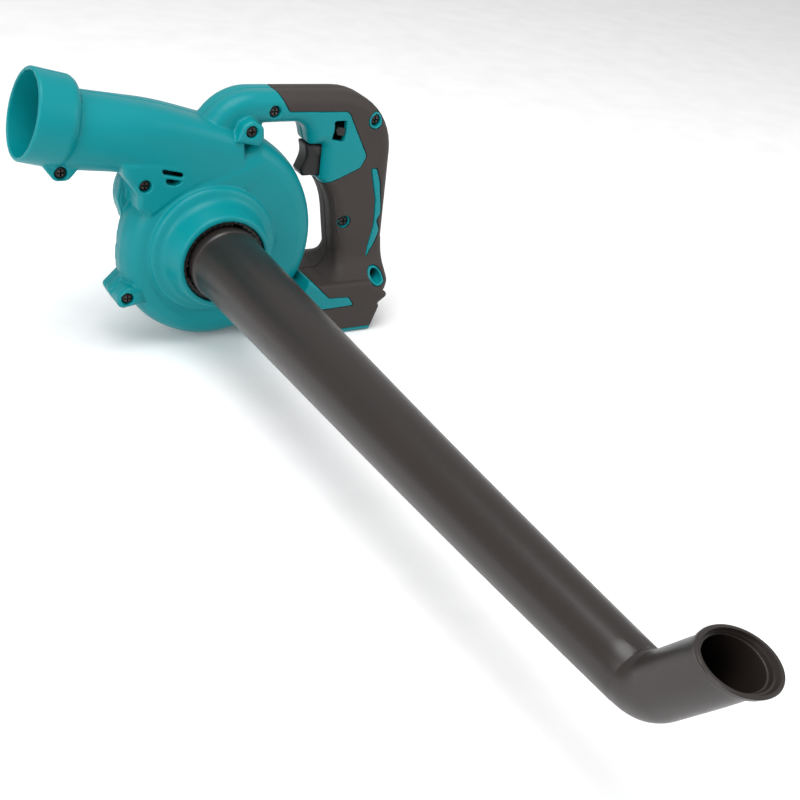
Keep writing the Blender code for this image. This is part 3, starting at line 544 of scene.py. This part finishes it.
def grain_group():
    """Moulded surface: blotches in the colour, paler worn edges, and a fine spark-eroded grain."""
    group = bpy.data.node_groups.new("moulded_grain", "ShaderNodeTree")
    sockets = group.interface
    for name in ("Colour", "Worn"):
        sockets.new_socket(name, in_out="INPUT", socket_type="NodeSocketColor")
    for name in ("Roughness", "Grains per metre", "Grain height"):
        sockets.new_socket(name, in_out="INPUT", socket_type="NodeSocketFloat")
    sockets.new_socket("Colour", in_out="OUTPUT", socket_type="NodeSocketColor")
    sockets.new_socket("Roughness", in_out="OUTPUT", socket_type="NodeSocketFloat")
    sockets.new_socket("Normal", in_out="OUTPUT", socket_type="NodeSocketVector")
    nodes, links = group.nodes, group.links
    inlet, outlet = nodes.new("NodeGroupInput"), nodes.new("NodeGroupOutput")
    where = nodes.new("ShaderNodeTexCoord").outputs["Object"]

    blotch = nodes.new("ShaderNodeTexNoise")
    blotch.inputs["Scale"].default_value = 22.0
    blotch.inputs["Detail"].default_value = 5.0
    shade = nodes.new("ShaderNodeMapRange")
    shade.inputs["To Min"].default_value = 0.93
    shade.inputs["To Max"].default_value = 1.06
    tint = nodes.new("ShaderNodeVectorMath")
    tint.operation = "SCALE"
    edge = nodes.new("ShaderNodeMapRange")
    edge.inputs["From Min"].default_value = 0.53
    edge.inputs["From Max"].default_value = 0.62
    scuff = nodes.new("ShaderNodeTexNoise")
    scuff.inputs["Scale"].default_value = 160.0
    scuff.inputs["Detail"].default_value = 6.0
    torn = nodes.new("ShaderNodeMapRange")
    torn.inputs["From Min"].default_value = 0.42
    torn.inputs["From Max"].default_value = 0.62
    torn.inputs["To Max"].default_value = 0.55
    wear = nodes.new("ShaderNodeMath")
    wear.operation = "MULTIPLY"
    mix = nodes.new("ShaderNodeMix")
    mix.data_type = "RGBA"
    grain = nodes.new("ShaderNodeTexVoronoi")
    grain.feature = "SMOOTH_F1"
    bump = nodes.new("ShaderNodeBump")
    bump.inputs["Strength"].default_value = 0.6
    rough = nodes.new("ShaderNodeMapRange")
    rough.inputs["To Min"].default_value = -0.05
    rough.inputs["To Max"].default_value = 0.07
    total = nodes.new("ShaderNodeMath")
    total.operation = "ADD"

    for node in (blotch, scuff, grain):
        links.new(where, node.inputs["Vector"])
    links.new(blotch.outputs["Fac"], shade.inputs["Value"])
    links.new(inlet.outputs["Colour"], tint.inputs[0])
    links.new(shade.outputs["Result"], tint.inputs["Scale"])
    links.new(nodes.new("ShaderNodeNewGeometry").outputs["Pointiness"], edge.inputs["Value"])
    links.new(scuff.outputs["Fac"], torn.inputs["Value"])
    links.new(edge.outputs["Result"], wear.inputs[0])
    links.new(torn.outputs["Result"], wear.inputs[1])
    links.new(wear.outputs["Value"], mix.inputs["Factor"])
    links.new(tint.outputs["Vector"], mix.inputs[6])
    links.new(inlet.outputs["Worn"], mix.inputs[7])
    links.new(inlet.outputs["Grains per metre"], grain.inputs["Scale"])
    links.new(grain.outputs["Distance"], bump.inputs["Height"])
    links.new(inlet.outputs["Grain height"], bump.inputs["Distance"])
    links.new(scuff.outputs["Fac"], rough.inputs["Value"])
    links.new(rough.outputs["Result"], total.inputs[0])
    links.new(inlet.outputs["Roughness"], total.inputs[1])
    links.new(mix.outputs[2], outlet.inputs["Colour"])
    links.new(total.outputs["Value"], outlet.inputs["Roughness"])
    links.new(bump.outputs["Normal"], outlet.inputs["Normal"])
    return group


GRAIN = grain_group()


def moulded(name, colour, worn, roughness, grains, height, metallic=0.0, level=0.5):
    """Material with the moulded grain. height is the grain's depth in metres."""
    material = bpy.data.materials.new(name)
    material.use_nodes = True
    nodes, links = material.node_tree.nodes, material.node_tree.links
    shader = nodes["Principled BSDF"]
    shader.inputs["Metallic"].default_value = metallic
    shader.inputs["Specular IOR Level"].default_value = level
    look = nodes.new("ShaderNodeGroup")
    look.node_tree = GRAIN
    look.inputs["Colour"].default_value = (*colour, 1.0)
    look.inputs["Worn"].default_value = (*worn, 1.0)
    look.inputs["Roughness"].default_value = roughness
    look.inputs["Grains per metre"].default_value = grains
    look.inputs["Grain height"].default_value = height
    links.new(look.outputs["Colour"], shader.inputs["Base Color"])
    links.new(look.outputs["Roughness"], shader.inputs["Roughness"])
    links.new(look.outputs["Normal"], shader.inputs["Normal"])
    return material


def trace(item, lines, width, depth):
    """Raise (or, with a negative depth, sink) fine lines on the surface, each of points (x, y, z)."""
    legs = []
    for points in lines:
        legs += list(zip(points, points[1:]))
    bm = bmesh.new()
    bm.from_mesh(item.data)
    for reach in (3.0 * width + 1.2, 2.0 * width + 0.5):
        near = distance_to(bm, legs) < reach
        edges = [edge for edge in bm.edges if near[edge.verts[0].index] and near[edge.verts[1].index]]
        bmesh.ops.subdivide_edges(bm, edges=edges, cuts=1, use_grid_fill=True)
        bmesh.ops.triangulate(bm, faces=[face for face in bm.faces if len(face.verts) > 4])
        bm.verts.index_update()
    bm.normal_update()
    away = distance_to(bm, legs)
    for vert in bm.verts:
        lift = depth * exp(-(away[vert.index] / width) ** 2)
        if abs(lift) > 0.005:
            vert.co += vert.normal * lift
    bm.to_mesh(item.data)
    bm.free()


def distance_to(bm, legs):
    """Distance of each vertex from the nearest of the legs."""
    places = np.array([vert.co for vert in bm.verts])
    nearest = np.full(len(places), 1e9)
    for start, end in legs:
        a, run = np.array(start), np.array(end) - np.array(start)
        share = np.clip(((places - a) @ run) / max(run @ run, 1e-9), 0.0, 1.0)
        nearest = np.minimum(nearest, np.linalg.norm(places - (a + share[:, None] * run), axis=1))
    return nearest


def arc_line(radius, first, last, y, step=6):
    """Points along an arc about the fan axis, from first to last degrees, at depth y."""
    count = max(1, round(abs(last - first) / step))
    turns = [radians(first + (last - first) * k / count) for k in range(count + 1)]
    return [(radius * cos(turn), y, radius * sin(turn)) for turn in turns]


TEAL = moulded("teal_plastic", (0.0, 0.20, 0.222), (0.01, 0.34, 0.36), 0.36, 1800.0, 0.00002, level=0.2)
near_half, far_half = halves(housing_body())
for half in (near_half, far_half):
    mould(half, MOULD_VOXEL, 3, 0.45)
RIDGES = (
    [(-42, -27, 35), (-33, -27, 33), *arc_line(48, 134, 68, -27), (26, -27, 47), (50, -26.5, 50)],
    [(62, -26, 25), (55, -27, 16), (54, -27, 0)],
)
trace(near_half, RIDGES, 0.6, 0.55)
trace(near_half, [arc_line(47.5, 158, 232, -29)], 0.8, -0.7)
place(near_half, "near_housing_half", TEAL, "housing", "teal_plastic", ["housing_left"])
place(far_half, "far_housing_half", TEAL, "housing", "teal_plastic", ["housing_right"])


# ---- Soft grip ----------------------------------------------------------------------------------
# Elastomer skin moulded over the handle and base, with a fine stipple. It lies in a step of the
# housing, so a thin dark line runs round it.

SKIN_VOXEL = 0.6
SOFT = moulded("soft_grip", (0.034, 0.027, 0.0245), (0.085, 0.072, 0.066), 0.58, 1500.0, 0.00006, level=0.3)
PANEL_RIDGE = [(108, -14.5, 36), (114, -14.5, 7), (120, -15, -9), (129, -15, -14)]


def soft_skin():
    skin = combine(grip_body(), plate(soft_region(), 60.0), "INTERSECT")
    cut(skin, grip_body(SKIN), *skin_windows(FIT))
    return cut(skin, *battery_bay(), trigger_bay())


for half, side, node in zip(halves(soft_skin()), ("near", "far"), ("grip_skin_left", "grip_skin_right")):
    mould(half, SKIN_VOXEL, 2, 0.5)
    if side == "near":
        trace(half, [PANEL_RIDGE], 0.7, 0.5)
    place(half, f"{side}_soft_grip", SOFT, "housing", "soft_grip", [node])


# ---- Screws -------------------------------------------------------------------------------------
# Blackened pan-head screws with a cross recess, sunk in round bores.

DARK_STEEL = moulded("blackened_steel", (0.035, 0.032, 0.03), (0.25, 0.24, 0.23), 0.36, 3000.0, 0.00001, 0.85)


def screw(name):
    (x, y, z), length = SCREWS[name]
    dome = [(0.6 * SCREW_HEAD_R, y), (0.8 * SCREW_HEAD_R, y + 0.25), (0.93 * SCREW_HEAD_R, y + 0.65),
            (SCREW_HEAD_R, y + 1.2)]
    body = turned(((0.3, y - 0.1), *eased(dome, 3), (SCREW_HEAD_R, y + SCREW_HEAD_H),
                   (SCREW_SHANK_R, y + SCREW_HEAD_H), (SCREW_SHANK_R, y + length)), 48, x, z)
    for long, wide in ((2.5, 0.62), (0.62, 2.5)):
        rings = []
        for depth, share in ((-1.0, 1.15), (0.4, 1.0), (1.7, 0.55)):
            half_x, half_z = long * share, wide * share
            rings.append([(x - half_x, y + depth, z - half_z), (x + half_x, y + depth, z - half_z),
                          (x + half_x, y + depth, z + half_z), (x - half_x, y + depth, z + half_z)])
        cut(body, loft(rings))
    place(body, f"{name}_body", DARK_STEEL, "housing", "dark_steel", [name])
    body.data.set_sharp_from_angle(angle=radians(35))


for screw_name in SCREWS:
    screw(screw_name)


# ---- Inlet ring ---------------------------------------------------------------------------------
# Black bayonet ring pressed into the inlet, with ribs round its mouth and three notches that the
# nozzle's lugs pass.

RIBS, NOTCHES = 40, 3
BLACK = moulded("black_plastic", (0.008, 0.0075, 0.0075), (0.06, 0.056, 0.053),
                0.40, 1800.0, 0.00003, level=0.35)
ring = turned(((32.4, -50.2), (32.2, -50.5), (32.4, -36.4), (28.6, -36.4), (28.6, -48.6), (29.4, -50.4),
               (29.7, -50.5)), 120, ends="loop")
for rib in range(RIBS):
    ridge = block(29.0, 32.0, -50.9, -49.0, -0.45, 0.45)
    ridge.data.transform(Matrix.Rotation(2 * pi * rib / RIBS, 4, "Y"))
    add(ring, ridge)
for notch in range(NOTCHES):
    gap = block(27.0, 30.8, -52.0, -44.0, -4.5, 4.5)
    gap.data.transform(Matrix.Rotation(2 * pi * (notch + 0.4) / NOTCHES, 4, "Y"))
    cut(ring, gap)
place(ring, "bayonet_ring", BLACK, "housing", "black_plastic", ["inlet_ring"])
ring.data.set_sharp_from_angle(angle=radians(35))


# ---- Nozzle -------------------------------------------------------------------------------------
# Long tapered tube blown in satin black plastic, with a band near its root, a bent tip and a
# flanged mouth with a double rim.

NOZZLE_ROOT_Y, NOZZLE_BEND_Y = -34.0, -546.0
NOZZLE_ROOT_R, NOZZLE_END_R, NOZZLE_WALL = 27.4, 16.6, 2.0
NOZZLE_RISE, BEND_R = 3.5, 22.0
TIP_LENGTH, TIP_BEND, TIP_TURN, MOUTH_BEND = 63.3, radians(52.6), radians(87.5), radians(79.9)
FLANGE_R = 20.5
NOZZLE_SIDES = 128
NOZZLE_BLACK = moulded("nozzle_plastic", (0.017, 0.0125, 0.011), (0.07, 0.058, 0.052),
                       0.33, 900.0, 0.00003, level=0.45)
BAND = ((27.9, -34.0), (27.9, -51.0), (28.2, -51.9), (28.75, -53.2), (28.9, -54.2), (28.9, -58.6),
        (28.6, -59.6), (27.9, -60.4), (27.6, -61.5))


def bent(angle):
    """Direction turned by angle from -Y towards the side the tip points to."""
    aside = Vector((cos(TIP_TURN), 0.0, sin(TIP_TURN)))
    return Vector((0.0, -1.0, 0.0)) * cos(angle) + aside * sin(angle)


def nozzle_path():
    """Places, directions and outer radii from the root to the lip of the tip."""
    path = [(Vector((0, y, 0)), bent(0)) for _, y in BAND]
    radii = [radius for radius, _ in BAND]
    straight_end = NOZZLE_BEND_Y + BEND_R * tan(TIP_BEND / 2)
    first = BAND[-1][1]
    for k in range(1, 41):
        y = first + (straight_end - first) * k / 40
        along = (-70.0 - y) / (-70.0 - NOZZLE_BEND_Y)
        lift = NOZZLE_RISE * max(0.0, (along - 0.4) / 0.6) ** 2
        path.append((Vector((0.3 * lift, y, lift)), bent(0)))
        radii.append(NOZZLE_ROOT_R + (NOZZLE_END_R - NOZZLE_ROOT_R) * along)
    point = path[-1][0].copy()
    bends = 20
    for k in range(1, bends + 1):
        turn = TIP_BEND * k / bends
        point = point + bent(turn - TIP_BEND / bends / 2) * (2 * BEND_R * sin(TIP_BEND / bends / 2))
        path.append((point.copy(), bent(turn)))
        radii.append(NOZZLE_END_R)
    rest = TIP_LENGTH - BEND_R * tan(TIP_BEND / 2)
    tip = ((0.0, 0.0, 16.6), (0.35, 0.0, 16.6), (0.7, 0.35, 16.7), (0.88, 0.75, 17.0), (0.925, 0.9, 17.3))
    rim = ((0.93, 0.92, 19.4), (0.94, 0.94, 19.9), (0.955, 0.97, 19.9), (0.957, 0.975, 19.3),
           (0.963, 0.98, 19.3), (0.967, 0.99, 20.3), (0.985, 1.0, FLANGE_R), (1.0, 1.0, FLANGE_R - 0.1),
           (1.01, 1.0, FLANGE_R - 0.6))
    for share, lean, radius in (*eased(tip, 5)[1:], *rim):
        path.append((point + bent(TIP_BEND) * rest * share, bent(TIP_BEND + (MOUTH_BEND - TIP_BEND) * lean)))
        radii.append(radius)
    return path, radii


def nozzle_tube():
    """Outer surface to the lip, then back down the bore."""
    path, radii = nozzle_path()
    face = [(path[-1], FLANGE_R - 1.6), (path[-1], FLANGE_R - 2.2), (path[-5], FLANGE_R - 3.0),
            (path[-5], FLANGE_R - 3.9), (path[-10], NOZZLE_END_R - 0.6)]
    back = len(path) - 11
    inner = [(path[k], radii[k] - NOZZLE_WALL) for k in range(back, -1, -1)]
    stations = face + inner
    return tube_along(path + [place for place, _ in stations], radii + [radius for _, radius in stations],
                      NOZZLE_SIDES, "loop")


def nozzle_marks(item):
    """A gate dimple near the root and the heel under the bend."""
    path, _ = nozzle_path()
    heel = path[len(BAND) + 46][0] + Vector((0, -9.0, -14.0))
    dimple = Vector((-14.0, -121.0, 22.0))
    for vert in item.data.vertices:
        outward = vert.normal
        if (vert.co - heel).length < 12:
            vert.co += outward * 1.2 * exp(-((vert.co - heel).length / 5.0) ** 2)
        reach = Vector((vert.co.x - dimple.x, (vert.co.y - dimple.y) * 0.6, vert.co.z - dimple.z)).length
        if reach < 8:
            vert.co -= outward * 0.6 * exp(-(reach / 1.6) ** 2)


tube = nozzle_tube()
nozzle_marks(tube)
place(tube, "long_nozzle", NOZZLE_BLACK, "nozzle", "nozzle_plastic", ["nozzle"])
tube.data.set_sharp_from_angle(angle=radians(40))


# ---- Trigger and speed lever --------------------------------------------------------------------
# Black trigger that slides into the grip, and a small lever in a window above it, both moulded
# in nylon.

PIVOT_X, PIVOT_Y, PIVOT_Z = 109.0, -15.0, 85.5
trigger_side = ((82, TRIGGER_TOP, 1.5), (85, 63, 16), (80, 50.5, 1.5), (82, TRIGGER_BOTTOM, 1.5),
                (TRIGGER_REAR, TRIGGER_BOTTOM, 1), (TRIGGER_REAR, TRIGGER_TOP, 1))
place(plate(trigger_side, TRIGGER_HALF, 2.5), "finger_trigger", BLACK, "trigger", "black_plastic",
      ["trigger"])
lever_side = ((PIVOT_X - 6.8, PIVOT_Z + 1.0, 0.8), (PIVOT_X - 5, PIVOT_Z - 2.6, 1),
              (PIVOT_X + 0.8, PIVOT_Z - 3.4, 1.2), (PIVOT_X + 1.6, PIVOT_Z + 2.6, 1.2),
              (PIVOT_X - 4.6, PIVOT_Z + 4.0, 1))
place(plate(lever_side, 2.9, 0.8, y_mid=PIVOT_Y), "speed_select_lever", BLACK, "speed_lever", "black_plastic",
      ["speed_lever"])


# ---- Motor cover --------------------------------------------------------------------------------
# Teal cap on the far end of the motor housing, with cooling slots.

SLOT_PITCH, SLOTTED_R = 6.6, 25.0
inner_r = BARREL_R - 2.4
cap = turned(((inner_r - 3.0, TOOL_END_Y - 2.6), (inner_r, TOOL_END_Y - 7.0), (inner_r, BARREL_END_Y + FIT),
              (BARREL_R, BARREL_END_Y + FIT), (BARREL_R, TOOL_END_Y - 6.0),
              (BARREL_R - 1.8, TOOL_END_Y - 1.8), (BARREL_R - 6.0, TOOL_END_Y)))
for slot_row in range(-3, 4):
    height = SLOT_PITCH * slot_row
    reach = sqrt(SLOTTED_R ** 2 - height ** 2)
    cut(cap, block(-reach, reach, TOOL_END_Y - 4.0, TOOL_END_Y + 2.0, height - 1.5, height + 1.5))
place(mould(cap, 0.5, 3, 0.5), "slotted_motor_cover", TEAL, "housing", "teal_plastic", ["motor_cover"])


# ---- Fan, motor, switch and wiring --------------------------------------------------------------
# Inner pieces keep their machined shapes: steel can and shaft, copper windings, brass contacts,
# ferrite magnets, carbon brushes and insulated leads.

STEEL = moulded("steel", (0.52, 0.52, 0.53), (0.75, 0.75, 0.76), 0.30, 2500.0, 0.00001, 1.0)
COPPER = moulded("copper", (0.72, 0.34, 0.19), (0.9, 0.55, 0.35), 0.34, 2200.0, 0.00006, 1.0)
BRASS = moulded("brass", (0.72, 0.55, 0.26), (0.9, 0.78, 0.5), 0.30, 2500.0, 0.00001, 1.0)
RUBBER = moulded("rubber", (0.02, 0.02, 0.02), (0.05, 0.05, 0.05), 0.78, 1500.0, 0.00004)
RED = moulded("red_insulation", (0.45, 0.02, 0.02), (0.6, 0.1, 0.1), 0.48, 1500.0, 0.00003)
FERRITE = moulded("ferrite", (0.08, 0.08, 0.085), (0.18, 0.18, 0.18), 0.68, 2000.0, 0.00004)
INNER_FINISHES = {
    "impeller": (BLACK, "black_plastic"),
    "impeller_nut": (STEEL, "steel"),
    "motor_shaft": (STEEL, "steel"),
    "motor_can": (STEEL, "steel"),
    "front_bearing": (STEEL, "steel"),
    "rear_bearing": (STEEL, "steel"),
    "upper_magnet": (FERRITE, "ferrite"),
    "lower_magnet": (FERRITE, "ferrite"),
    "armature_core": (STEEL, "steel"),
    "front_winding": (COPPER, "copper"),
    "rear_winding": (COPPER, "copper"),
    "commutator": (COPPER, "copper"),
    "left_brush": (RUBBER, "carbon"),
    "right_brush": (RUBBER, "carbon"),
    "motor_end_bell": (BLACK, "black_plastic"),
    "motor_ring": (RUBBER, "rubber"),
    "switch_plunger": (BRASS, "brass"),
    "switch_body": (BLACK, "black_plastic"),
    "controller": (BLACK, "black_plastic"),
    "terminal_block": (BLACK, "black_plastic"),
    "left_terminal": (BRASS, "brass"),
    "right_terminal": (BRASS, "brass"),
    "battery_lead_red": (RED, "red_insulation"),
    "battery_lead_black": (RUBBER, "rubber"),
    "motor_lead_red": (RED, "red_insulation"),
    "motor_lead_black": (RUBBER, "rubber"),
}

for node_name, (finish, finish_slot) in INNER_FINISHES.items():
    node = frame["nodes"][node_name]
    node.data.materials.clear()
    node.data.materials.append(finish)
    soften = node.modifiers.new("soften", "BEVEL")
    soften.width = 0.0002
    soften.segments = 2
    soften.limit_method = "ANGLE"
    soften.angle_limit = radians(40)


# ---- Floor, light and camera --------------------------------------------------------------------
# Pale floor under the base, an even white surround, and large soft lamps over and beside the tool.

CAMERA_OFFSET = Vector((-363.8, -830.1, 386.8)) * MM
CAMERA_RIGHT = Vector((0.8546, -0.5006, 0.1379))
CAMERA_UP = Vector((0.1489, 0.4906, 0.8586))
CAMERA_BACK = Vector((-0.4975, -0.7132, 0.4938))
FLOOR_REACH = 6.0  # metres from the middle to each side

floor_mesh = bpy.data.meshes.new("floor")
corners = [(x, y, cad_low.z) for x, y in ((-1, -1), (1, -1), (1, 1), (-1, 1))]
floor_mesh.from_pydata([(x * FLOOR_REACH, y * FLOOR_REACH, z) for x, y, z in corners], [], [(0, 1, 2, 3)])
floor = bpy.data.objects.new("floor", floor_mesh)
bpy.context.collection.objects.link(floor)
PAPER = (0.93, 0.93, 0.935)
floor_mesh.materials.append(moulded("floor_paper", PAPER, PAPER, 0.8, 400.0, 0.00002))

world = bpy.data.worlds.new("surround")
world.use_nodes = True
world.node_tree.nodes["Background"].inputs["Color"].default_value = (1.0, 1.0, 1.0, 1.0)
world.node_tree.nodes["Background"].inputs["Strength"].default_value = 0.62
bpy.context.scene.world = world
bpy.context.scene.view_settings.view_transform = "Standard"


def softbox(name, offset, size, power):
    """Square lamp that faces the fan axis."""
    lamp = bpy.data.lights.new(name, "AREA")
    lamp.shape = "SQUARE"
    lamp.size = size
    lamp.energy = power
    item = bpy.data.objects.new(name, lamp)
    bpy.context.collection.objects.link(item)
    item.location = fan_centre + Vector(offset)
    item.rotation_mode = "QUATERNION"
    item.rotation_quaternion = Vector(offset).to_track_quat("Z", "Y")


softbox("overhead", (-0.3, -0.3, 1.5), 1.1, 20.0)
softbox("left_side", (-1.5, -0.9, 0.7), 0.9, 15.0)
softbox("right_side", (1.4, -1.0, 0.8), 0.9, 8.0)

lens = bpy.data.cameras.new("camera")
lens.lens = 55.26
lens.sensor_width = 36.0
camera = bpy.data.objects.new("camera", lens)
bpy.context.collection.objects.link(camera)
axes = Matrix((CAMERA_RIGHT, CAMERA_UP, CAMERA_BACK)).transposed()
camera.matrix_world = Matrix.Translation(fan_centre + CAMERA_OFFSET) @ axes.to_4x4()
bpy.context.scene.camera = camera
